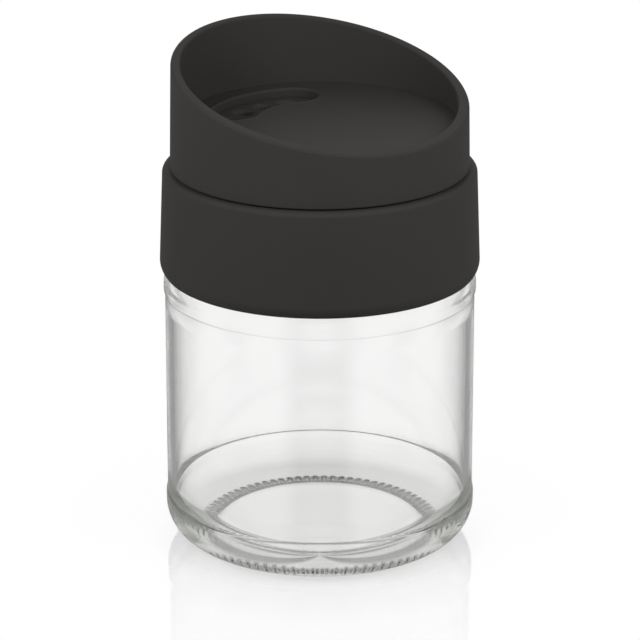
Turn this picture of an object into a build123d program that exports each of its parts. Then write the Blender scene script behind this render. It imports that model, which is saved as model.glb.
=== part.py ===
from build123d import *
import math
import os

# Spice jar: a wide-mouth glass jar under a screw lid whose top turns from sprinkle to pour.
# Sizes are in millimetres and angles in degrees. The jar stands on Z = 0, with its axis on +Z.

os.makedirs("parts", exist_ok=True)

# Glass body, from the base up
push_up = 2.6
push_up_edge = 0.8
bearing_width = 1.7
bearing_slope = 1.2
heel_round = 9.3
body_radius = 39.0
body_wall = 2.0
base_thickness = 2.6
label_recess = 0.35
label_edge_round = 3.0
label_bottom_height = 12.2
label_top_height = 65.2
bead_rise = 2.2
shoulder_arc_radius = 7.0
shoulder_turn = 45
shoulder_tight_radius = 3.2

# Glass neck
neck_step = 0.82
neck_height = 21.17
neck_wall = 2.2
neck_root_round = 1.2
rim_outer_round = 0.6
rim_inner_round = 0.5

# Sealing ring
seal_thickness = 1.2
seal_side_clearance = 0.4
seal_edge_round = 0.2

# Lid body: collar shell, screw skirt, boss and deck
lid_wall = 1.9
collar_lift = 3.5
collar_overhang = 0.95
collar_draft = 1.02
collar_wall = 1.4
collar_top_round = 1.3
collar_foot_rise = 3.0
collar_foot_land = 0.25
thread_room = 1.1
skirt_wall = 1.4
skirt_length = 18.0
skirt_edge_round = 0.4
rib_count = 12
rib_thickness = 1.0
rib_length = 14.0
rib_bite = 0.2
boss_wall = 2.0
boss_rise = 9.8
boss_edge_round = 0.5
boss_inner_round = 1.0

# Sifter holes and pour opening in the deck
slot_azimuth = 137
sifter_count = 4
sifter_spacing = 17
sifter_offset = 1.2
sifter_hole_radius = 2.2
pour_margin = 1.0

# Turning top: drum wall, panel, slot and slanted rim
drum_gap = 0.3
turning_clearance = 0.4
drum_inset = 1.92
drum_draft = 0.55
drum_wall = 2.1
drum_bottom_round = 0.4
rim_azimuth = 128
rim_low_rise = 0.7
rim_rise = 17.9
rim_wall = 2.25
cup_draft = 0.4
cup_floor_round = 0.3
rim_outer_edge_round = 0.8
rim_inner_edge_round = 0.6
panel_gap = 0.3
panel_thickness = 2.0
slot_inset = 12.0
slot_width = 12.2
slot_half_turn = 30
slot_edge_round = 0.6

# Snap bead and stop between the top and the boss
snap_height = 2.4
snap_bead = 0.8
snap_half_height = 1.0
snap_tip_half_height = 0.25
snap_clearance = 0.4
stop_rib_length = 4.4
stop_rib_depth = 1.2
stop_rib_width = 6.0
stop_clearance = 0.3
twist_range = 180
stop_lead = 90

overrun = 1.0


def on_circle(centre, radius, turn):
    """Point of a circle in the section, at an angle up from the outward direction."""
    angle = math.radians(turn)
    return (centre[0] + radius * math.cos(angle), centre[1] + radius * math.sin(angle))


def upright_plane(turn):
    """Plane through the jar's axis, facing so that its first direction is at this angle from +X."""
    angle = math.radians(turn)
    return Plane((0, 0, 0), x_dir=(math.cos(angle), math.sin(angle), 0), z_dir=(math.sin(angle), -math.cos(angle), 0))


def round_corner(section, corner, radius):
    """Round the corner of a section that lies at this radius and height."""
    fillet(section.vertices().sort_by_distance(corner)[0], radius)


# Glass jar
bead_radius = body_radius + label_recess
heel_centre = (bead_radius - heel_round, heel_round)
bearing_radius = heel_centre[0] - bearing_width
label_edge_turn = math.degrees(math.acos(1 - label_recess / label_edge_round))
label_edge_rise = label_edge_round * math.sin(math.radians(label_edge_turn))
heel_edge_centre = (bead_radius - label_edge_round, label_bottom_height - label_edge_rise)
bead_edge_centre = (bead_radius - label_edge_round, label_top_height + label_edge_rise)
bead_height = label_top_height + bead_rise
shoulder_centre = (bead_radius - shoulder_arc_radius, bead_height)
tight_centre = on_circle(shoulder_centre, shoulder_arc_radius - shoulder_tight_radius, shoulder_turn)
shoulder_top = tight_centre[1] + shoulder_tight_radius
inner_radius = body_radius - body_wall
bead_wall = bead_radius - inner_radius
inner_shoulder_top = shoulder_top - bead_wall
neck_radius = tight_centre[0] - neck_step
mouth_radius = neck_radius - neck_wall
jar_height = shoulder_top + neck_height
inner_heel_round = heel_round - bead_wall
floor_height = push_up + base_thickness

with BuildPart() as glass_jar:
    with BuildSketch(Plane.XZ) as jar_section:
        with BuildLine():
            TangentArc((0, push_up), (bearing_radius - bearing_slope, push_up_edge), tangent=(1, 0))
            Polyline((bearing_radius - bearing_slope, push_up_edge), (bearing_radius, 0), (heel_centre[0], 0))
            CenterArc(heel_centre, heel_round, -90, 90)
            Line((bead_radius, heel_round), (bead_radius, heel_edge_centre[1]))
            CenterArc(heel_edge_centre, label_edge_round, 0, label_edge_turn)
            Line((body_radius, label_bottom_height), (body_radius, label_top_height))
            CenterArc(bead_edge_centre, label_edge_round, -label_edge_turn, label_edge_turn)
            Line((bead_radius, bead_edge_centre[1]), (bead_radius, bead_height))
            CenterArc(shoulder_centre, shoulder_arc_radius, 0, shoulder_turn)
            CenterArc(tight_centre, shoulder_tight_radius, shoulder_turn, 90 - shoulder_turn)
            Polyline(
                (tight_centre[0], shoulder_top),
                (neck_radius, shoulder_top),
                (neck_radius, jar_height),
                (mouth_radius, jar_height),
                (mouth_radius, inner_shoulder_top),
                (tight_centre[0], inner_shoulder_top),
            )
            CenterArc(tight_centre, shoulder_tight_radius - bead_wall, 90, shoulder_turn - 90)
            CenterArc(shoulder_centre, shoulder_arc_radius - bead_wall, shoulder_turn, -shoulder_turn)
            Line((inner_radius, bead_height), (inner_radius, heel_round))
            CenterArc(heel_centre, inner_heel_round, 0, -90)
            TangentArc((0, floor_height), (heel_centre[0], bead_wall), tangent=(1, 0))
            Line((0, floor_height), (0, push_up))
        make_face()
        round_corner(jar_section, (neck_radius, jar_height), rim_outer_round)
        round_corner(jar_section, (mouth_radius, jar_height), rim_inner_round)
        round_corner(jar_section, (mouth_radius, inner_shoulder_top), neck_root_round)
    revolve(axis=Axis.Z)
glass_jar.part.label = "glass_jar"
export_step(glass_jar.part, "parts/glass_jar.step")


# Sealing ring, flat on the glass rim
thread_bore_radius = neck_radius + thread_room
seal_radius = thread_bore_radius - seal_side_clearance
ledge_height = jar_height + seal_thickness

with BuildPart() as sealing_ring:
    with BuildSketch(Plane.XY.offset(jar_height)):
        Circle(seal_radius)
        Circle(mouth_radius, mode=Mode.SUBTRACT)
    extrude(amount=seal_thickness)
    fillet(sealing_ring.edges().filter_by(GeomType.CIRCLE), seal_edge_round)
sealing_ring.part.label = "sealing_ring"
export_step(sealing_ring.part, "parts/sealing_ring.step")


# Lid body
land_height = ledge_height + lid_wall
collar_bottom = bead_height + collar_lift
collar_bottom_radius = bead_radius + collar_overhang
collar_top_radius = collar_bottom_radius - collar_draft
skirt_radius = thread_bore_radius + skirt_wall
skirt_bottom = ledge_height - skirt_length
wall_run = (collar_bottom_radius - collar_top_radius, collar_bottom - land_height)
foot_start = (collar_bottom_radius + wall_run[0] / wall_run[1] * collar_foot_rise, collar_bottom + collar_foot_rise)
foot_end = (collar_bottom_radius - collar_wall + collar_foot_land, collar_bottom)
shell_draft = (collar_bottom_radius - collar_top_radius) / (ledge_height - collar_bottom)
rib_bottom = ledge_height - rib_length
rib_foot_radius = collar_top_radius - collar_wall + rib_length * shell_draft
drum_bottom_radius = collar_top_radius - drum_inset
drum_bore_radius = drum_bottom_radius - drum_wall
boss_radius = drum_bore_radius - turning_clearance
boss_inner_radius = boss_radius - boss_wall
deck_height = land_height + boss_rise
deck_underside = deck_height - lid_wall
snap_level = land_height + snap_height
bead_tip_radius = drum_bore_radius - snap_bead
groove_radius = bead_tip_radius - snap_clearance
stop_tip_radius = drum_bore_radius - stop_rib_depth
track_radius = stop_tip_radius - stop_clearance
panel_underside = deck_height + panel_gap
stop_bottom = panel_underside - stop_rib_length
track_bottom = stop_bottom - stop_clearance
stop_azimuth = slot_azimuth + stop_lead
stop_half_turn = math.degrees(math.atan2(stop_rib_width / 2 + stop_clearance, drum_bore_radius))
pour_azimuth = slot_azimuth - twist_range
pour_width = slot_width - 2 * pour_margin
drum_top_radius = drum_bottom_radius - drum_draft
cup_top_radius = drum_top_radius - rim_wall
cup_floor_radius = cup_top_radius - cup_draft
slot_radius = cup_floor_radius - slot_inset
sifter_circle_radius = slot_radius + sifter_offset

with BuildPart() as lid_body:
    with BuildSketch(Plane.XZ) as lid_section:
        with BuildLine():
            Polyline(
                (0, deck_height),
                (boss_radius, deck_height),
                (boss_radius, land_height),
                (collar_top_radius, land_height),
                foot_start,
            )
            TangentArc(foot_start, foot_end, tangent=wall_run)
            Polyline(
                foot_end,
                (collar_bottom_radius - collar_wall, collar_bottom),
                (collar_top_radius - collar_wall, ledge_height),
                (skirt_radius, ledge_height),
                (skirt_radius, skirt_bottom),
                (thread_bore_radius, skirt_bottom),
                (thread_bore_radius, ledge_height),
                (boss_inner_radius, ledge_height),
                (boss_inner_radius, deck_underside),
                (0, deck_underside),
                (0, deck_height),
            )
        make_face()
        round_corner(lid_section, (boss_radius, deck_height), boss_edge_round)
        round_corner(lid_section, (collar_top_radius, land_height), collar_top_round)
        round_corner(lid_section, (skirt_radius, skirt_bottom), skirt_edge_round)
        round_corner(lid_section, (thread_bore_radius, skirt_bottom), skirt_edge_round)
        round_corner(lid_section, (boss_inner_radius, deck_underside), boss_inner_round)
    revolve(axis=Axis.Z)
    # Ribs that tie the screw skirt to the collar shell
    for rib in range(rib_count):
        with BuildSketch(upright_plane(rib * 360 / rib_count)):
            with BuildLine():
                Polyline(
                    (skirt_radius - rib_bite, ledge_height),
                    (collar_top_radius - collar_wall + rib_bite, ledge_height),
                    (rib_foot_radius + rib_bite, rib_bottom),
                    (skirt_radius - rib_bite, rib_bottom),
                    close=True,
                )
            make_face()
        extrude(amount=rib_thickness / 2, both=True)
    # Groove for the snap bead
    with BuildSketch(Plane.XZ):
        with BuildLine():
            Polyline(
                (boss_radius + overrun, snap_level - snap_half_height - overrun),
                (boss_radius + overrun, snap_level + snap_half_height + overrun),
                (groove_radius, snap_level + snap_tip_half_height + snap_clearance),
                (groove_radius, snap_level - snap_tip_half_height - snap_clearance),
                close=True,
            )
        make_face()
    revolve(axis=Axis.Z, mode=Mode.SUBTRACT)
    # Track for the stop rib, open at the deck
    with BuildSketch(upright_plane(stop_azimuth - stop_half_turn)):
        with BuildLine():
            Polyline(
                (track_radius, track_bottom),
                (boss_radius + overrun, track_bottom),
                (boss_radius + overrun, deck_height + overrun),
                (track_radius, deck_height + overrun),
                close=True,
            )
        make_face()
    revolve(axis=Axis.Z, revolution_arc=twist_range + 2 * stop_half_turn, mode=Mode.SUBTRACT)
    # Sifter holes under the slot at rest
    sifter_start = slot_azimuth - sifter_spacing * (sifter_count - 1) / 2
    with BuildSketch(Plane.XY.offset(deck_underside)):
        for hole in range(sifter_count):
            with PolarLocations(sifter_circle_radius, 1, sifter_start + hole * sifter_spacing):
                Circle(sifter_hole_radius)
    extrude(amount=lid_wall, mode=Mode.SUBTRACT)
    # Pour opening, under the slot once the top has turned
    with BuildSketch(Plane.XY.offset(deck_underside)):
        SlotArc(CenterArc((0, 0), slot_radius, pour_azimuth - slot_half_turn, 2 * slot_half_turn), pour_width)
    extrude(amount=lid_wall, mode=Mode.SUBTRACT)
lid_body.part.label = "lid_body"
export_step(lid_body.part, "parts/lid_body.step")


# Turning top
drum_bottom = land_height + drum_gap
panel_height = panel_underside + panel_thickness
overall_height = panel_height + rim_low_rise + rim_rise
rim_slope = math.degrees(math.atan2(rim_rise, 2 * drum_top_radius))
rim_middle_height = overall_height - rim_rise / 2

with BuildPart() as turning_top:
    with BuildSketch(Plane.XZ) as top_section:
        with BuildLine():
            Polyline(
                (0, panel_height),
                (cup_floor_radius, panel_height),
                (cup_top_radius, overall_height + overrun),
                (drum_top_radius, overall_height + overrun),
                (drum_bottom_radius, drum_bottom),
                (drum_bore_radius, drum_bottom),
                (drum_bore_radius, snap_level - snap_half_height),
                (bead_tip_radius, snap_level - snap_tip_half_height),
                (bead_tip_radius, snap_level + snap_tip_half_height),
                (drum_bore_radius, snap_level + snap_half_height),
                (drum_bore_radius, panel_underside),
                (0, panel_underside),
                close=True,
            )
        make_face()
        round_corner(top_section, (cup_floor_radius, panel_height), cup_floor_round)
        round_corner(top_section, (drum_bottom_radius, drum_bottom), drum_bottom_round)
    revolve(axis=Axis.Z)
    # Slanted rim, high side near the slot's middle
    uphill = math.radians(rim_azimuth)
    slope = math.radians(rim_slope)
    rim_normal = (-math.cos(uphill) * math.sin(slope), -math.sin(uphill) * math.sin(slope), math.cos(slope))
    rim_plane = Plane(origin=(0, 0, rim_middle_height), z_dir=rim_normal)
    split(bisect_by=rim_plane, keep=Keep.BOTTOM)
    rim_face = turning_top.faces().filter_by(GeomType.PLANE).sort_by(Axis.Z)[-1]
    fillet(rim_face.edges().sort_by(SortBy.LENGTH)[0], rim_inner_edge_round)
    rim_face = turning_top.faces().filter_by(GeomType.PLANE).sort_by(Axis.Z)[-1]
    fillet(rim_face.edges().sort_by(SortBy.LENGTH)[-1], rim_outer_edge_round)
    # Slot in the panel
    with BuildSketch(Plane.XY.offset(panel_underside)):
        SlotArc(CenterArc((0, 0), slot_radius, slot_azimuth - slot_half_turn, 2 * slot_half_turn), slot_width)
    extrude(amount=panel_thickness, mode=Mode.SUBTRACT)
    panel = turning_top.faces().filter_by(GeomType.PLANE).sort_by_distance((0, 0, panel_height))[0]
    fillet(panel.inner_wires()[0].edges(), slot_edge_round)
    # Stop rib on the bore, above the snap bead
    with BuildSketch(Plane.XY.offset(stop_bottom)):
        with PolarLocations((drum_bore_radius + stop_tip_radius) / 2, 1, stop_azimuth):
            Rectangle(stop_rib_depth + 2 * rib_bite, stop_rib_width)
        Circle(stop_tip_radius, mode=Mode.SUBTRACT)
    extrude(amount=stop_rib_length + rib_bite)
turning_top.part.label = "turning_top"
export_step(turning_top.part, "parts/turning_top.step")
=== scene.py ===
import math

import bmesh
import bpy
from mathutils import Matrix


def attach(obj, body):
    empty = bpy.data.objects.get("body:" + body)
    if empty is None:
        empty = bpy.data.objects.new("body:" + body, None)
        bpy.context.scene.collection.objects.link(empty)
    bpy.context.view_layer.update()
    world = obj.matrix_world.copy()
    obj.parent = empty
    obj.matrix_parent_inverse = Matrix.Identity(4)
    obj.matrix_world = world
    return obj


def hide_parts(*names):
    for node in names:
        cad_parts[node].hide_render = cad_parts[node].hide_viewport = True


# Spice jar: a glass jar, its sealing ring, and a charcoal screw lid whose top turns.
# Lengths are in millimetres and angles in degrees; the meshes are made in metres.

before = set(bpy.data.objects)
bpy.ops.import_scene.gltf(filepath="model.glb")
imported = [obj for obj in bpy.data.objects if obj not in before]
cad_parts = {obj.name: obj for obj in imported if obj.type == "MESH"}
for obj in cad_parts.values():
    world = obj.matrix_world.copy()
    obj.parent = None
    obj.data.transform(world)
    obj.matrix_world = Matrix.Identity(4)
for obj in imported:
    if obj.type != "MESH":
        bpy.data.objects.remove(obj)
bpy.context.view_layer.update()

MM = 0.001

# Glass body and foot
push_up = 2.6
push_up_edge = 0.8
push_up_edge_round = 0.5
bearing_width = 1.7
bearing_slope = 1.2
bearing_edge_round = 0.4
heel_round = 9.3
body_radius = 39.0
body_wall = 2.0
base_thickness = 2.6
label_recess = 0.35
label_edge_round = 1.7
label_bottom_height = 12.2
label_top_height = 65.2
bead_rise = 2.2
shoulder_arc_radius = 7.0
shoulder_turn = 45
shoulder_tight_radius = 3.2

# Inner corner at the foot: a quarter of an ellipse, made fuller by an ease under 1
corner_width = 11.5
corner_height = 11.5
corner_ease = 0.85

# Knurled bearing ring
knurl_count = 80
knurl_depth = 0.42
knurl_reach = 1.7
knurl_fade = 1.6
knurl_sharpness = 1.5

# Glass neck and its thread
neck_step = 0.82
neck_height = 21.17
neck_wall = 2.2
neck_root_round = 1.2
neck_foot_round = 0.25
rim_outer_round = 0.9
rim_inner_round = 0.8
glass_thread_height = 0.7
glass_thread_width = 2.4
thread_drop = 4.5
thread_pitch = 6.0
thread_turns = 1.6
thread_fade = 30
thread_fullness = 0.7

# Sealing ring
seal_thickness = 1.2
seal_side_clearance = 0.4
seal_edge_round = 0.35

# Lid body
lid_wall = 1.9
collar_lift = 3.5
collar_overhang = 0.95
collar_draft = 1.02
collar_wall = 1.4
collar_top_round = 1.3
collar_foot_rise = 3.0
collar_foot_land = 0.25
thread_room = 1.1
skirt_wall = 1.4
skirt_length = 18.0
skirt_edge_round = 0.4
lid_thread_height = 0.3
lid_thread_width = 1.8
lid_thread_margin = 1.0
ledge_round = 0.3
rib_count = 12
rib_thickness = 1.0
rib_length = 14.0
rib_bite = 0.2
boss_wall = 2.0
boss_rise = 9.8
boss_edge_round = 0.5
boss_inner_round = 1.0
boss_foot_round = 0.3
boss_mouth_round = 0.4

# Sifter holes and pour opening
slot_azimuth = 137
sifter_count = 4
sifter_spacing = 17
sifter_offset = 1.2
sifter_hole_radius = 2.2
sifter_edge_round = 0.9
pour_margin = 1.0
pour_edge_round = 0.4

# Turning top
drum_gap = 0.3
turning_clearance = 0.4
drum_inset = 1.92
drum_draft = 0.55
drum_wall = 2.1
drum_bottom_round = 0.4
drum_bore_round = 0.2
rim_azimuth = 128
rim_low_rise = 0.7
rim_rise = 17.9
rim_wall = 2.25
cup_draft = 0.4
cup_floor_round = 0.1
rim_outer_edge_round = 0.8
rim_inner_edge_round = 0.6
panel_gap = 0.3
panel_thickness = 2.0
slot_inset = 12.0
slot_width = 12.2
slot_half_turn = 30
slot_edge_round = 0.6
slot_lip_height = 0.18
slot_lip_width = 0.7

# Gap to the deck at which the panel's underside is shown, so that no light comes through between them
shown_gap = 0.08

# Snap bead and stop
snap_height = 2.4
snap_bead = 0.8
snap_half_height = 1.0
snap_tip_half_height = 0.25
snap_tip_round = 0.15
snap_foot_round = 0.1
snap_clearance = 0.4
stop_rib_length = 4.4
stop_rib_depth = 1.2
stop_rib_width = 6.0
stop_clearance = 0.3
twist_range = 180
stop_lead = 90

# Studio
floor_radius = 3000
floor_shade_reach = 100
lamp_width = 140
lamp_depth = 100
camera_place = (0, -858, 362.66)
camera_tilt = 19.629
camera_shift = 0.0003
camera_lens = 202.5
sensor_width = 36
nearest_seen = 50
farthest_seen = 20000
light_bounces = 40

# Mesh density: columns round the axis, rows on each stretch of a section, and degrees on its arcs
turn_columns = 360
knurl_columns = 8
rounding_steps = 10
heel_step = 2
label_edge_step = 5
shoulder_step = 3
tight_step = 5
inner_tight_step = 9
push_up_rows = 14
bearing_rows = 6
heel_rows = 3
wall_rows = 14
neck_rows = 70
corner_rows = 45
floor_rows = 18
lid_thread_rows = 48
slot_side_steps = 36
slot_end_steps = 14
sifter_steps = 40
edge_steps = 6
lip_steps = 6
floor_sides = 96

# Close rows beside an edge keep the flat face next to it smooth
support = 0.12
track_support = 0.1

# A step in a section, or between two columns, takes up this much, so that no two vertices coincide
track_step = 0.001
stop_step = 0.01
column_step = 0.04

# Width of the wound strip inside the deck's and the panel's edge, where the flat faces start
deck_strip = 3.0
panel_strip = 3.0
underside_strip = 4.0

# Edges sharper than this, in degrees, are shaded as edges
glass_edge_angle = 50
seal_edge_angle = 50
plastic_edge_angle = 35


# Sections are lists of (radius, height) points.

def on_circle(centre, radius, turn):
    """Point of a circle in the section, at an angle up from the outward direction."""
    angle = math.radians(turn)
    return (centre[0] + radius * math.cos(angle), centre[1] + radius * math.sin(angle))


def arc(centre, radius, start, end, step):
    """Points of an arc from one angle to another."""
    steps = max(2, math.ceil(abs(end - start) / step))
    return [on_circle(centre, radius, start + (end - start) * i / steps) for i in range(steps + 1)]


def run(start, end, steps):
    """Points of a straight run, without its ends."""
    return [
        (start[0] + (end[0] - start[0]) * i / steps, start[1] + (end[1] - start[1]) * i / steps)
        for i in range(1, steps)
    ]


def dished(edge, middle_height, rows):
    """Points of a shallow bowl from the axis out to its edge, without its ends."""
    fall = (middle_height - edge[1]) / edge[0] ** 2
    return [(edge[0] * i / rows, middle_height - fall * (edge[0] * i / rows) ** 2) for i in range(1, rows)]


def rounded(corners):
    """Section through corners given as (radius, height) or (radius, height, round).

    Each round has a close row on both sides of it.
    """
    points = []
    for i, corner in enumerate(corners):
        here = corner[:2]
        if len(corner) < 3:
            points.append(here)
            continue
        before, after = corners[i - 1][:2], corners[i + 1][:2]
        to_before = unit(here, before)
        to_after = unit(here, after)
        opening = math.acos(max(-1, min(1, to_before[0] * to_after[0] + to_before[1] * to_after[1])))
        reach = corner[2] / math.tan(opening / 2)
        middle = (to_before[0] + to_after[0], to_before[1] + to_after[1])
        to_centre = corner[2] / math.sin(opening / 2) / math.hypot(*middle)
        centre = (here[0] + middle[0] * to_centre, here[1] + middle[1] * to_centre)
        first = (here[0] + to_before[0] * reach, here[1] + to_before[1] * reach)
        last = (here[0] + to_after[0] * reach, here[1] + to_after[1] * reach)
        start = math.degrees(math.atan2(first[1] - centre[1], first[0] - centre[0]))
        end = math.degrees(math.atan2(last[1] - centre[1], last[0] - centre[0]))
        sweep = (end - start + 180) % 360 - 180
        points.append((first[0] + to_before[0] * support, first[1] + to_before[1] * support))
        points += [
            on_circle(centre, corner[2], start + sweep * k / rounding_steps)
            for k in range(rounding_steps + 1)
        ]
        points.append((last[0] + to_after[0] * support, last[1] + to_after[1] * support))
    return points


def tangent_arc(start, end, run_in):
    """Points of the arc that leaves a straight run at one point and ends at another."""
    length = math.hypot(*run_in)
    along = (run_in[0] / length, run_in[1] / length)
    chord = (end[0] - start[0], end[1] - start[1])
    side = along[0] * chord[1] - along[1] * chord[0]
    radius = (chord[0] ** 2 + chord[1] ** 2) / (2 * abs(side))
    sign = math.copysign(1, side)
    centre = (start[0] - sign * radius * along[1], start[1] + sign * radius * along[0])
    first = math.atan2(start[1] - centre[1], start[0] - centre[0])
    last = math.atan2(end[1] - centre[1], end[0] - centre[0])
    sweep = (last - first + math.pi) % math.tau - math.pi
    return [
        on_circle(centre, radius, math.degrees(first + sweep * i / rounding_steps))
        for i in range(rounding_steps + 1)
    ]


def unit(start, end):
    """Direction from one point to another, of length 1."""
    length = math.dist(start, end)
    return ((end[0] - start[0]) / length, (end[1] - start[1]) / length)


# Meshes are closed skins, made of rings of vertices round the jar's axis.

def place(radius, height, turn):
    """Point in metres, from its radius, height and turn round the axis."""
    angle = math.radians(turn)
    return (radius * math.cos(angle) * MM, radius * math.sin(angle) * MM, height * MM)


def join(mesh, ring, next_ring):
    """Faces between two rings with the same number of vertices."""
    for i in range(len(ring)):
        mesh.faces.new((ring[i - 1], ring[i], next_ring[i], next_ring[i - 1]))


def wind(mesh, section_at, turns):
    """Skin round the axis through the section at each turn. Returns its first and last rings."""
    columns = [section_at(turn) for turn in turns]
    rings = [
        [mesh.verts.new(place(*column[row], turn)) for column, turn in zip(columns, turns)]
        for row in range(len(columns[0]))
    ]
    for ring, next_ring in zip(rings, rings[1:]):
        join(mesh, ring, next_ring)
    return rings[0], rings[-1]


def cap(mesh, ring, height):
    """Fan of faces from a ring to a point on the axis."""
    tip = mesh.verts.new((0, 0, height * MM))
    for i in range(len(ring)):
        mesh.faces.new((ring[i - 1], ring[i], tip))


def stack(mesh, loops):
    """Skin through a stack of loops of points. Returns its first and last rings."""
    rings = [[mesh.verts.new(point) for point in loop] for loop in loops]
    for ring, next_ring in zip(rings, rings[1:]):
        join(mesh, ring, next_ring)
    return rings[0], rings[-1]


def plate(mesh, *rings):
    """Flat faces between an outer ring and the rings of its holes."""
    edges = [mesh.edges.get((ring[i - 1], ring[i])) for ring in rings for i in range(len(ring))]
    bmesh.ops.triangle_fill(mesh, use_beauty=True, edges=edges)


def kidney(radius, middle_turn, half_turn, half_width, height):
    """Loop of a slot that follows a circle round the axis and has round ends."""
    points = []
    first_turn, last_turn = middle_turn - half_turn, middle_turn + half_turn
    for i in range(slot_side_steps + 1):
        turn = first_turn + 2 * half_turn * i / slot_side_steps
        points.append(place(radius + half_width, height, turn))
    points += end_loop(radius, last_turn, half_width, height, 0)
    for i in range(slot_side_steps + 1):
        turn = last_turn - 2 * half_turn * i / slot_side_steps
        points.append(place(radius - half_width, height, turn))
    points += end_loop(radius, first_turn, half_width, height, 180)
    return points


def end_loop(radius, turn, half_width, height, start):
    """Points of a slot's round end, without those that it shares with the sides."""
    centre = place(radius, height, turn)
    points = []
    for i in range(1, slot_end_steps):
        angle = math.radians(turn + start + 180 * i / slot_end_steps)
        points.append((centre[0] + half_width * MM * math.cos(angle),
                       centre[1] + half_width * MM * math.sin(angle), centre[2]))
    return points


def circle(radius, turn, hole_radius, height):
    """Loop of a round hole whose centre is off the axis."""
    centre = place(radius, height, turn)
    return [
        (centre[0] + hole_radius * MM * math.cos(math.tau * i / sifter_steps),
         centre[1] + hole_radius * MM * math.sin(math.tau * i / sifter_steps), centre[2])
        for i in range(sifter_steps)
    ]


def hole(mesh, loop_at, bottom, top, edge_round, lip_height=0, lip_width=0):
    """Wall of a hole through a plate, with a rounded upper edge that a raised lip may surround.

    loop_at gives the hole's loop, grown by a width, at a height. Returns the lowest and highest rings.
    """
    crest = top + lip_height
    loops = [loop_at(0, bottom), loop_at(0, bottom + support)]
    for i in range(edge_steps + 1):
        angle = math.radians(90 * i / edge_steps)
        grow = edge_round * (1 - math.cos(angle))
        loops.append(loop_at(grow, crest - edge_round + edge_round * math.sin(angle)))
    if lip_height:
        for i in range(1, lip_steps):
            fall = 0.5 - 0.5 * math.cos(math.pi * i / lip_steps)
            loops.append(loop_at(edge_round + lip_width * i / lip_steps, crest - lip_height * fall))
    loops.append(loop_at(edge_round + lip_width + (0 if lip_height else support), top))
    return stack(mesh, loops)


def finish_piece(mesh, name, material, body, node, edge_angle):
    """Object from a closed skin, riding on a body in place of a CAD node."""
    bmesh.ops.recalc_face_normals(mesh, faces=mesh.faces)
    data = bpy.data.meshes.new(name)
    mesh.to_mesh(data)
    mesh.free()
    data.materials.append(material)
    data.shade_smooth()
    data.set_sharp_from_angle(angle=math.radians(edge_angle))
    piece = bpy.data.objects.new(name, data)
    bpy.context.scene.collection.objects.link(piece)
    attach(piece, body)
    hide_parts(node)


def even_turns(count, *steps_at):
    """Even turns round the axis, with a close pair at each turn where a section changes in a step."""
    turns = [360 * i / count for i in range(count)]
    for step_turn in steps_at:
        turns += [(step_turn - column_step) % 360, (step_turn + column_step) % 360]
    return sorted(turns)


def within(turn, middle, half_turn):
    """Whether a turn is less than half_turn away from the middle, either way round."""
    return abs((turn - middle + 180) % 360 - 180) < half_turn


# Glass jar sizes that follow from the named ones
bead_radius = body_radius + label_recess
heel_centre = (bead_radius - heel_round, heel_round)
bearing_radius = heel_centre[0] - bearing_width
label_edge_turn = math.degrees(math.acos(1 - label_recess / label_edge_round))
label_edge_rise = label_edge_round * math.sin(math.radians(label_edge_turn))
heel_edge_centre = (bead_radius - label_edge_round, label_bottom_height - label_edge_rise)
bead_edge_centre = (bead_radius - label_edge_round, label_top_height + label_edge_rise)
bead_height = label_top_height + bead_rise
shoulder_centre = (bead_radius - shoulder_arc_radius, bead_height)
tight_centre = on_circle(shoulder_centre, shoulder_arc_radius - shoulder_tight_radius, shoulder_turn)
shoulder_top = tight_centre[1] + shoulder_tight_radius
inner_radius = body_radius - body_wall
bead_wall = bead_radius - inner_radius
inner_shoulder_top = shoulder_top - bead_wall
neck_radius = tight_centre[0] - neck_step
mouth_radius = neck_radius - neck_wall
jar_height = shoulder_top + neck_height
thread_top = jar_height - thread_drop
corner_centre = (inner_radius - corner_width, bead_wall + corner_height)
floor_height = push_up + base_thickness
push_up_edge_radius = bearing_radius - bearing_slope
knurl_start = bearing_radius - bearing_edge_round
knurl_end = bearing_radius + knurl_reach + knurl_fade

# Lid sizes that follow
thread_bore_radius = neck_radius + thread_room
seal_radius = thread_bore_radius - seal_side_clearance
ledge_height = jar_height + seal_thickness
land_height = ledge_height + lid_wall
collar_bottom = bead_height + collar_lift
collar_bottom_radius = bead_radius + collar_overhang
collar_top_radius = collar_bottom_radius - collar_draft
skirt_radius = thread_bore_radius + skirt_wall
skirt_bottom = ledge_height - skirt_length
wall_run = (collar_bottom_radius - collar_top_radius, collar_bottom - land_height)
foot_start_radius = collar_bottom_radius + wall_run[0] / wall_run[1] * collar_foot_rise
foot_start = (foot_start_radius, collar_bottom + collar_foot_rise)
foot_end = (collar_bottom_radius - collar_wall + collar_foot_land, collar_bottom)
shell_draft = (collar_bottom_radius - collar_top_radius) / (ledge_height - collar_bottom)
rib_bottom = ledge_height - rib_length
rib_foot_radius = collar_top_radius - collar_wall + rib_length * shell_draft
drum_bottom_radius = collar_top_radius - drum_inset
drum_bore_radius = drum_bottom_radius - drum_wall
drum_top_radius = drum_bottom_radius - drum_draft
boss_radius = drum_bore_radius - turning_clearance
boss_inner_radius = boss_radius - boss_wall
deck_height = land_height + boss_rise
deck_underside = deck_height - lid_wall
snap_level = land_height + snap_height
bead_tip_radius = drum_bore_radius - snap_bead
groove_radius = bead_tip_radius - snap_clearance
stop_tip_radius = drum_bore_radius - stop_rib_depth
track_radius = stop_tip_radius - stop_clearance
panel_height = deck_height + panel_gap + panel_thickness
shown_underside = deck_height + shown_gap
stop_bottom = deck_height + panel_gap - stop_rib_length
track_bottom = stop_bottom - stop_clearance
stop_azimuth = slot_azimuth + stop_lead
stop_half_turn = math.degrees(math.atan2(stop_rib_width / 2 + stop_clearance, drum_bore_radius))
rib_half_turn = math.degrees(math.atan2(stop_rib_width / 2, drum_bore_radius))
track_middle = stop_azimuth + twist_range / 2
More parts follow.
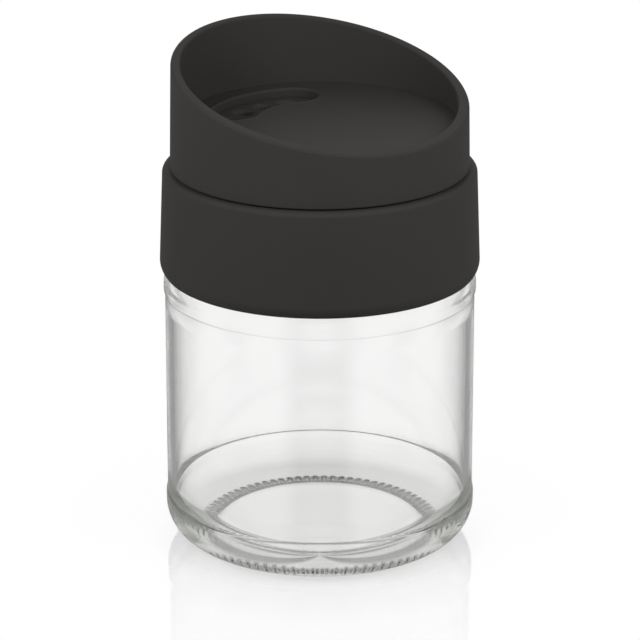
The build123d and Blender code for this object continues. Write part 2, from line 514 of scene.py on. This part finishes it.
track_half_turn = twist_range / 2 + stop_half_turn
pour_azimuth = slot_azimuth - twist_range
pour_half_width = slot_width / 2 - pour_margin
drum_bottom = land_height + drum_gap
cup_top_radius = drum_top_radius - rim_wall
cup_floor_radius = cup_top_radius - cup_draft
slot_radius = cup_floor_radius - slot_inset
sifter_circle_radius = slot_radius + sifter_offset
overall_height = panel_height + rim_low_rise + rim_rise
rim_middle_height = overall_height - rim_rise / 2
rim_slope = rim_rise / (2 * drum_top_radius)
wall_draft = drum_draft / (overall_height - drum_bottom)
cup_lean = cup_draft / (overall_height - panel_height)


def node_adder(owner):
    """Function that adds a node to a material or the world, whose nodes are cleared first."""
    owner.use_nodes = True
    tree = owner.node_tree
    tree.nodes.clear()

    def add(kind, inputs=None, **settings):
        node = tree.nodes.new(kind)
        for key, value in settings.items():
            setattr(node, key, value)
        for key, value in (inputs or {}).items():
            if isinstance(value, bpy.types.NodeSocket):
                tree.links.new(value, node.inputs[key])
            else:
                node.inputs[key].default_value = value
        return node

    return add


def ramp(add, factor, stops):
    """Colour ramp through grey levels, given as (position, level)."""
    node = add("ShaderNodeValToRGB", {"Fac": factor})
    elements = node.color_ramp.elements
    while len(elements) > 1:
        elements.remove(elements[-1])
    for i, (position, level) in enumerate(stops):
        element = elements[0] if i == 0 else elements.new(position)
        element.position = position
        element.color = (level, level, level, 1)
    return node.outputs["Color"]


def mixed(add, factor, first, second, blend_type="MIX"):
    """Mix of two colours, by a factor from the first to the second.

    The node's inputs 6 and 7 and its output 2 are the ones for colours.
    """
    return add("ShaderNodeMix", {
        "Factor": factor, 6: first, 7: second,
    }, data_type="RGBA", blend_type=blend_type).outputs[2]


def spread(add, value, low, high, to_low=0.0, to_high=1.0, interpolation_type="LINEAR"):
    """A value between two limits, brought to the range between two others."""
    return add("ShaderNodeMapRange", {
        "Value": value, "From Min": low, "From Max": high, "To Min": to_low, "To Max": to_high,
    }, interpolation_type=interpolation_type).outputs["Result"]


def noise(add, scale, detail):
    """Cloudy level that stays with the object."""
    where = add("ShaderNodeTexCoord").outputs["Object"]
    return add("ShaderNodeTexNoise", {"Vector": where, "Scale": scale, "Detail": detail}).outputs["Fac"]


def bumped(add, height, strength, distance):
    """Surface direction with a relief of this height, whose full depth is a distance in millimetres."""
    node = add("ShaderNodeBump", {"Height": height, "Strength": strength, "Distance": distance * MM})
    return node.outputs["Normal"]


def glass_material():
    """Clear glass, faintly rippled, with a green-grey tint that deepens with its thickness."""
    material = bpy.data.materials.new("clear_glass")
    add = node_adder(material)
    ripple = noise(add, scale=40.0, detail=1.0)
    shader = add("ShaderNodeBsdfPrincipled", {
        "Base Color": (1.0, 1.0, 1.0, 1), "Roughness": 0.0, "IOR": 1.5, "Transmission Weight": 0.975,
        "Normal": bumped(add, ripple, strength=0.02, distance=1.0),
    })
    tint = add("ShaderNodeVolumeAbsorption", {"Color": (0.50, 0.55, 0.42, 1), "Density": 16.0})
    add("ShaderNodeOutputMaterial", {"Surface": shader.outputs[0], "Volume": tint.outputs[0]})
    return material


def plastic_material():
    """Charcoal plastic with a fine matt grain and slight clouds in its colour and gloss."""
    material = bpy.data.materials.new("charcoal_plastic")
    add = node_adder(material)
    cloud = noise(add, scale=60.0, detail=3.0)
    grain = noise(add, scale=4000.0, detail=2.0)
    shader = add("ShaderNodeBsdfPrincipled", {
        "Base Color": mixed(add, cloud, (0.0330, 0.0312, 0.0288, 1), (0.0370, 0.0352, 0.0325, 1)),
        "Roughness": spread(add, cloud, 0.0, 1.0, to_low=0.60, to_high=0.68),
        "IOR": 1.48, "Specular IOR Level": 0.16,
        "Normal": bumped(add, grain, strength=0.25, distance=0.04),
    })
    add("ShaderNodeOutputMaterial", {"Surface": shader.outputs[0]})
    return material


def seal_material():
    """Off-white foam with fine closed cells."""
    material = bpy.data.materials.new("sealing_foam")
    add = node_adder(material)
    cloud = noise(add, scale=120.0, detail=2.0)
    where = add("ShaderNodeTexCoord").outputs["Object"]
    cells = add("ShaderNodeTexVoronoi", {"Vector": where, "Scale": 2500.0}).outputs["Distance"]
    shader = add("ShaderNodeBsdfPrincipled", {
        "Base Color": mixed(add, cloud, (0.72, 0.71, 0.68, 1), (0.78, 0.77, 0.74, 1)),
        "Roughness": 0.75,
        "Normal": bumped(add, cells, strength=0.3, distance=0.08),
    })
    add("ShaderNodeOutputMaterial", {"Surface": shader.outputs[0]})
    return material


def thread_rise(turn, height, start_height, width, rise):
    """How far a thread stands out at a place on its cylinder. It starts at turn 0 and fades in and out."""
    highest = 0.0
    end = thread_turns * 360
    along = turn
    while along <= end:
        centre = start_height - thread_pitch * along / 360
        off = abs(height - centre) / (width / 2)
        if off < 1:
            fade = min(1, along / thread_fade, (end - along) / thread_fade)
            highest = max(highest, rise * fade * (0.5 + 0.5 * math.cos(math.pi * off)) ** thread_fullness)
        along += 360
    return highest


def glass_section():
    """Outer and inner section of the glass, without its knurls and thread."""
    push_up_rim = (push_up_edge_radius, push_up_edge)
    points = dished(push_up_rim, push_up, push_up_rows)
    points += rounded([
        points[-1],
        (*push_up_rim, push_up_edge_round),
        (bearing_radius, 0, bearing_edge_round),
        (heel_centre[0], 0),
    ])[1:-1]
    points += run((bearing_radius + bearing_edge_round, 0), (heel_centre[0], 0), bearing_rows)
    points += arc(heel_centre, heel_round, -90, 0, heel_step)
    points += run((bead_radius, heel_round), (bead_radius, heel_edge_centre[1]), heel_rows)
    points += arc(heel_edge_centre, label_edge_round, 0, label_edge_turn, label_edge_step)
    points += run((body_radius, label_bottom_height), (body_radius, label_top_height), wall_rows)
    points += arc(bead_edge_centre, label_edge_round, -label_edge_turn, 0, label_edge_step)
    points += arc(shoulder_centre, shoulder_arc_radius, 0, shoulder_turn, shoulder_step)
    points += arc(tight_centre, shoulder_tight_radius, shoulder_turn, 90, tight_step)[1:]
    neck = rounded([
        (tight_centre[0], shoulder_top),
        (neck_radius, shoulder_top, neck_foot_round),
        (neck_radius, jar_height, rim_outer_round),
        (mouth_radius, jar_height, rim_inner_round),
        (mouth_radius, inner_shoulder_top, neck_root_round),
        (tight_centre[0], inner_shoulder_top),
    ])[1:-1]
    # the neck's foot is the first rounding, with the close row on each side of it
    foot, rest = neck[:rounding_steps + 3], neck[rounding_steps + 3:]
    points += foot + run(foot[-1], rest[0], neck_rows) + rest
    points += arc(tight_centre, shoulder_tight_radius - bead_wall, 90, shoulder_turn, inner_tight_step)
    points += arc(shoulder_centre, shoulder_arc_radius - bead_wall, shoulder_turn, 0, shoulder_step)[1:]
    points += run((inner_radius, bead_height), (inner_radius, corner_centre[1]), wall_rows)
    for i in range(corner_rows + 1):
        turn = math.radians(90 * i / corner_rows)
        points.append((corner_centre[0] + corner_width * math.cos(turn),
                       corner_centre[1] - corner_height * math.sin(turn) ** corner_ease))
    points += reversed(dished((corner_centre[0], bead_wall), floor_height, floor_rows))
    return points


def glass_column(section, turn):
    """The glass section at a turn, with the knurls under its foot and the thread on its neck."""
    knurl = knurl_depth * (0.5 - 0.5 * math.cos(math.radians(turn) * knurl_count)) ** knurl_sharpness
    points = []
    for radius, height in section:
        if radius > knurl_start and height < bead_wall:
            fade_in = min(1, (radius - knurl_start) / bearing_edge_round)
            fade_out = max(0, min(1, (knurl_end - radius) / knurl_fade))
            height += knurl * fade_in * fade_out
        elif math.isclose(radius, neck_radius) and height > shoulder_top:
            radius += thread_rise(turn, height, thread_top, glass_thread_width, glass_thread_height)
        points.append((radius, height))
    return points


def make_glass(material):
    mesh = bmesh.new()
    section = glass_section()
    turns = even_turns(knurl_count * knurl_columns)
    first, last = wind(mesh, lambda turn: glass_column(section, turn), turns)
    cap(mesh, first, push_up)
    cap(mesh, last, floor_height)
    finish_piece(mesh, "glass_jar_body", material, "jar", "glass_jar", glass_edge_angle)


def make_seal(material):
    mesh = bmesh.new()
    middle_radius = (mouth_radius + seal_radius) / 2
    section = rounded([
        (middle_radius, jar_height),
        (seal_radius, jar_height, seal_edge_round),
        (seal_radius, ledge_height, seal_edge_round),
        (mouth_radius, ledge_height, seal_edge_round),
        (mouth_radius, jar_height, seal_edge_round),
        (middle_radius, jar_height),
    ])[1:]
    first, last = wind(mesh, lambda turn: section, even_turns(turn_columns))
    join(mesh, last, first)
    finish_piece(mesh, "seal_ring", material, "seal", "sealing_ring", seal_edge_angle)


def lid_column(turn):
    """Section of the lid body from the deck's top edge round to its underside, at a turn."""
    in_track = within(turn, track_middle, track_half_turn)
    edge = track_radius if in_track else boss_radius
    outside = rounded([
        (edge - deck_strip, deck_height),
        (edge, deck_height, boss_edge_round),
        (edge, track_bottom + track_support),
    ]) + rounded([
        (edge, track_bottom),
        (boss_radius, track_bottom - track_step),
        (boss_radius, snap_level + snap_half_height + support),
        (groove_radius, snap_level + snap_tip_half_height + snap_clearance, snap_tip_round),
        (groove_radius, snap_level - snap_tip_half_height - snap_clearance, snap_tip_round),
        (boss_radius, snap_level - snap_half_height - support),
        (boss_radius, land_height, boss_foot_round),
        (collar_top_radius, land_height, collar_top_round),
        foot_start,
    ])[:-1] + tangent_arc(foot_start, foot_end, wall_run) + rounded([
        (collar_bottom_radius - collar_wall, collar_bottom),
        (collar_top_radius - collar_wall, ledge_height),
        (skirt_radius, ledge_height),
        (skirt_radius, skirt_bottom, skirt_edge_round),
        (thread_bore_radius, skirt_bottom, skirt_edge_round),
        (thread_bore_radius, skirt_bottom + lid_thread_margin),
    ])
    inside = rounded([
        (thread_bore_radius, ledge_height - lid_thread_margin),
        (thread_bore_radius, ledge_height, ledge_round),
        (boss_inner_radius, ledge_height, boss_mouth_round),
        (boss_inner_radius, deck_underside, boss_inner_round),
        (boss_inner_radius - underside_strip, deck_underside),
    ])
    thread = []
    for radius, height in run(outside[-1], inside[0], lid_thread_rows):
        # the lid's thread lies half a pitch under the glass one
        rise = thread_rise(turn, height, thread_top - thread_pitch / 2, lid_thread_width, lid_thread_height)
        thread.append((radius - rise, height))
    return outside + thread + inside


def rib(mesh, turn):
    """Upright rib between the screw skirt and the collar shell."""
    corners = [
        (skirt_radius - rib_bite, ledge_height),
        (collar_top_radius - collar_wall + rib_bite, ledge_height),
        (rib_foot_radius + rib_bite, rib_bottom),
        (skirt_radius - rib_bite, rib_bottom),
    ]
    angle = math.radians(turn)
    sides = []
    for offset in (-rib_thickness / 2, rib_thickness / 2):
        sides.append([
            mesh.verts.new(((radius * math.cos(angle) - offset * math.sin(angle)) * MM,
                            (radius * math.sin(angle) + offset * math.cos(angle)) * MM, height * MM))
            for radius, height in corners
        ])
    join(mesh, *sides)
    for side in sides:
        mesh.faces.new(side)


def make_lid(material):
    mesh = bmesh.new()
    turns = even_turns(turn_columns, track_middle - track_half_turn, track_middle + track_half_turn)
    first, last = wind(mesh, lid_column, turns)
    low_rings, high_rings = [], []
    for i in range(sifter_count):
        turn = slot_azimuth + sifter_spacing * (i - (sifter_count - 1) / 2)
        low, high = hole(
            mesh, lambda grow, height: circle(
                sifter_circle_radius, turn, sifter_hole_radius + grow, height),
            deck_underside, deck_height, sifter_edge_round)
        low_rings.append(low)
        high_rings.append(high)
    low, high = hole(
        mesh, lambda grow, height: kidney(
            slot_radius, pour_azimuth, slot_half_turn, pour_half_width + grow, height),
        deck_underside, deck_height, pour_edge_round)
    plate(mesh, first, high, *high_rings)
    plate(mesh, last, low, *low_rings)
    for i in range(rib_count):
        rib(mesh, 360 * i / rib_count)
    finish_piece(mesh, "lid_collar", material, "lid", "lid_body", plastic_edge_angle)


def top_column(turn):
    """Section of the turning top from the cup's floor over the rim to the panel's underside, at a turn."""
    lean = rim_slope * math.cos(math.radians(turn - rim_azimuth))
    # the rim's plane meets the tapered walls of the drum and of the cup at these heights
    wall_at_zero = drum_bottom_radius + wall_draft * drum_bottom
    outer_height = (rim_middle_height + lean * wall_at_zero) / (1 + lean * wall_draft)
    outer_radius = drum_bottom_radius - wall_draft * (outer_height - drum_bottom)
    cup_at_zero = cup_floor_radius - cup_lean * panel_height
    cup_height = (rim_middle_height + lean * cup_at_zero) / (1 - lean * cup_lean)
    cup_radius = cup_floor_radius + cup_lean * (cup_height - panel_height)
    outside = rounded([
        (cup_floor_radius - panel_strip, panel_height),
        (cup_floor_radius, panel_height, cup_floor_round),
        (cup_radius, cup_height, rim_inner_edge_round),
        (outer_radius, outer_height, rim_outer_edge_round),
        (drum_bottom_radius, drum_bottom, drum_bottom_round),
        (drum_bore_radius, drum_bottom, drum_bore_round),
        (drum_bore_radius, snap_level - snap_half_height, snap_foot_round),
        (bead_tip_radius, snap_level - snap_tip_half_height, snap_tip_round),
        (bead_tip_radius, snap_level + snap_tip_half_height, snap_tip_round),
        (drum_bore_radius, snap_level + snap_half_height, snap_foot_round),
        (drum_bore_radius, stop_bottom - stop_step),
    ])
    bore = stop_tip_radius if within(turn, stop_azimuth, rib_half_turn) else drum_bore_radius
    return outside + [(bore, stop_bottom), (bore, shown_underside)]


def make_top(material):
    mesh = bmesh.new()
    turns = even_turns(turn_columns, stop_azimuth - rib_half_turn, stop_azimuth + rib_half_turn)
    first, last = wind(mesh, top_column, turns)
    low, high = hole(
        mesh, lambda grow, height: kidney(
            slot_radius, slot_azimuth, slot_half_turn, slot_width / 2 + grow, height),
        shown_underside, panel_height, slot_edge_round, slot_lip_height, slot_lip_width)
    plate(mesh, first, high)
    plate(mesh, last, low)
    finish_piece(mesh, "turning_drum", material, "top", "turning_top", plastic_edge_angle)


def make_floor():
    """Pale floor. The camera sees it white, with a soft shade and a mirror image near the jar.

    Rays that come through the glass pass the floor to the studio beyond, dimmed by a painted contact shadow
    where the jar stands.
    """
    mesh = bmesh.new()
    mesh.faces.new([
        mesh.verts.new(place(floor_radius, 0, 360 * i / floor_sides)) for i in range(floor_sides)
    ])
    data = bpy.data.meshes.new("floor")
    mesh.to_mesh(data)
    mesh.free()
    floor = bpy.data.objects.new("floor", data)
    bpy.context.scene.collection.objects.link(floor)
    material = bpy.data.materials.new("floor_white")
    add = node_adder(material)
    where = add("ShaderNodeTexCoord").outputs["Object"]
    away = add("ShaderNodeVectorMath", {0: where}, operation="LENGTH").outputs["Value"]
    near = spread(add, away, 0.0, floor_shade_reach * MM)
    mirror_share = ramp(add, near, [(0.0, 0.45), (0.30, 0.45), (0.60, 0.12), (1.0, 0.0)])
    shade_share = ramp(add, near, [(0.0, 0.5), (0.30, 0.4), (0.45, 0.08), (0.8, 0.0)])
    white = add("ShaderNodeEmission", {"Color": (1, 1, 1, 1), "Strength": 1.0}).outputs[0]
    dull = add("ShaderNodeBsdfDiffuse", {"Color": (0.95, 0.95, 0.95, 1)}).outputs[0]
    gloss = add("ShaderNodeBsdfGlossy", {"Color": (1, 1, 1, 1), "Roughness": 0.03}).outputs[0]
    base = add("ShaderNodeMixShader", {0: shade_share, 1: white, 2: dull}).outputs[0]
    seen = add("ShaderNodeMixShader", {0: mirror_share, 1: base, 2: gloss}).outputs[0]
    # painted contact shadow under the jar, darkest where the bearing ring stands
    painted_contact_shadow = ramp(add, near, [
        (0.0, 0.9), (0.24, 0.88), (0.278, 0.8), (0.285, 0.4), (0.302, 0.4), (0.312, 0.75), (0.40, 0.75),
        (0.46, 0.9), (0.60, 1.0),
    ])
    through = add("ShaderNodeBsdfTransparent", {"Color": painted_contact_shadow}).outputs[0]
    rays = add("ShaderNodeLightPath")
    shown = add("ShaderNodeMixShader", {0: rays.outputs["Is Camera Ray"], 1: through, 2: seen}).outputs[0]
    add("ShaderNodeOutputMaterial", {"Surface": shown})
    data.materials.append(material)
    floor.visible_glossy = False
    floor.visible_diffuse = False
    floor.visible_shadow = False


def mirrored_walls(add, share, room, height):
    """Studio as surfaces mirror it: dim behind the jar for rays that run level or down."""
    lower = ramp(add, share, [(0.0, 0.3), (0.30, 0.3), (0.44, 0.95), (0.84, 0.95), (0.91, 0.1), (1.0, 0.1)])
    above = spread(add, height, -0.1, 0.15, interpolation_type="SMOOTHSTEP")
    return mixed(add, above, lower, room)


def walls_through_glass(add, share, room, height):
    """Studio as it is seen through the glass.

    Rays that fall about as steeply as the photograph's view see the room. The others see a light card at
    every eighth of a turn, a little dimmer where they rise.
    """
    cards = [(0.0, 1.0), (0.05, 1.0), (0.09, 0.5)]
    for middle in (0.25, 0.50, 0.75):
        cards += [
            (middle - 0.09, 0.5), (middle - 0.05, 0.95), (middle + 0.05, 0.95), (middle + 0.09, 0.5),
        ]
    cards += [(0.91, 0.5), (0.95, 0.95), (1.0, 0.95)]
    level = spread(add, height, -1.0, 1.0)
    band = ramp(add, level, [(0.285, 0.0), (0.30, 1.0), (0.3325, 1.0), (0.3475, 0.0)])
    around = mixed(add, band, ramp(add, share, cards), room)
    dim = ramp(add, level, [(0.0, 1.0), (0.42, 1.0), (0.55, 0.78), (1.0, 0.78)])
    return mixed(add, 1.0, around, dim, blend_type="MULTIPLY")


def soft_light(add, share, height):
    """Light that matt surfaces take from the studio, stronger from above than from below."""
    glow = ramp(add, share, [
        (0.0, 0.8), (0.10, 0.25), (0.50, 0.15), (0.60, 0.6), (0.74, 0.7), (0.86, 0.35), (1.0, 0.3),
    ])
    rise = spread(add, height, -0.3, 0.1, to_low=0.35, interpolation_type="SMOOTHSTEP")
    return mixed(add, 1.0, glow, rise, blend_type="MULTIPLY")


def make_world():
    """Studio round the jar, fixed in the room, and plain white where the camera sees it.

    A share is 0 behind the jar, as the photograph sees it, and 1 at the side of the camera. High up, the
    studio is a middle grey all round.
    """
    world = bpy.data.worlds.new("studio")
    bpy.context.scene.world = world
    add = node_adder(world)
    direction = add("ShaderNodeTexCoord").outputs["Generated"]
    axes = add("ShaderNodeSeparateXYZ", {0: direction}).outputs
    azimuth = add("ShaderNodeMath", {0: axes["X"], 1: axes["Y"]}, operation="ARCTAN2").outputs[0]
    side = add("ShaderNodeMath", {0: azimuth}, operation="ABSOLUTE").outputs[0]
    share = add("ShaderNodeMath", {0: side, 1: math.pi}, operation="DIVIDE").outputs[0]
    height = axes["Z"]
    rays = add("ShaderNodeLightPath").outputs
    room = ramp(add, share, [
        (0.0, 1.0), (0.07, 1.0), (0.11, 0.33), (0.30, 0.33), (0.42, 0.95), (0.84, 0.95), (0.91, 0.1),
        (1.0, 0.1),
    ])
    mirrored = mirrored_walls(add, share, room, height)
    beyond = walls_through_glass(add, share, room, height)
    walls = mixed(add, rays["Is Transmission Ray"], mirrored, beyond)
    up = spread(add, height, 0.5, 0.85, interpolation_type="SMOOTHSTEP")
    lit = mixed(add, up, walls, (0.45, 0.45, 0.45, 1))
    soft = soft_light(add, share, height)
    around = mixed(add, rays["Is Diffuse Ray"], lit, soft)
    shown = mixed(add, rays["Is Camera Ray"], around, (1, 1, 1, 1))
    background = add("ShaderNodeBackground", {"Color": shown, "Strength": 1.0})
    add("ShaderNodeOutputWorld", {"Surface": background.outputs[0]})


def make_lamp(name, position, tilt, power):
    """Soft lamp turned to the jar's axis, at a tilt from straight down. Only matt surfaces see it."""
    data = bpy.data.lights.new(name, "AREA")
    data.shape = "RECTANGLE"
    data.size = lamp_width * MM
    data.size_y = lamp_depth * MM
    data.energy = power
    lamp = bpy.data.objects.new(name, data)
    lamp.location = [coordinate * MM for coordinate in position]
    lamp.rotation_euler = (math.radians(tilt), 0, math.atan2(-lamp.location.x, lamp.location.y) + math.pi)
    lamp.visible_camera = False
    lamp.visible_glossy = False
    lamp.visible_transmission = False
    bpy.context.scene.collection.objects.link(lamp)


def make_camera():
    """Camera at the photograph's place, fitted to the outlines of the jar and its lid."""
    data = bpy.data.cameras.new("camera")
    data.sensor_width = sensor_width
    data.lens = camera_lens
    data.shift_x = camera_shift
    data.clip_start = nearest_seen * MM
    data.clip_end = farthest_seen * MM
    camera = bpy.data.objects.new("camera", data)
    camera.location = [coordinate * MM for coordinate in camera_place]
    camera.rotation_euler = (math.radians(90 - camera_tilt), 0, 0)
    bpy.context.scene.collection.objects.link(camera)
    bpy.context.scene.camera = camera


plastic = plastic_material()
make_glass(glass_material())
make_seal(seal_material())
make_lid(plastic)
make_top(plastic)
make_floor()
make_world()
make_lamp("left_lamp", position=(-160, -160, 240), tilt=57, power=0.36)
make_lamp("right_lamp", position=(160, -160, 240), tilt=57, power=0.36)
make_lamp("back_lamp", position=(0, 240, 100), tilt=88, power=0.35)
make_camera()
bpy.context.scene.view_settings.view_transform = "Standard"

# Light that runs along inside the glass wall turns many times before it comes out
cycles = bpy.context.scene.cycles
cycles.max_bounces = light_bounces
cycles.transmission_bounces = light_bounces
cycles.glossy_bounces = light_bounces
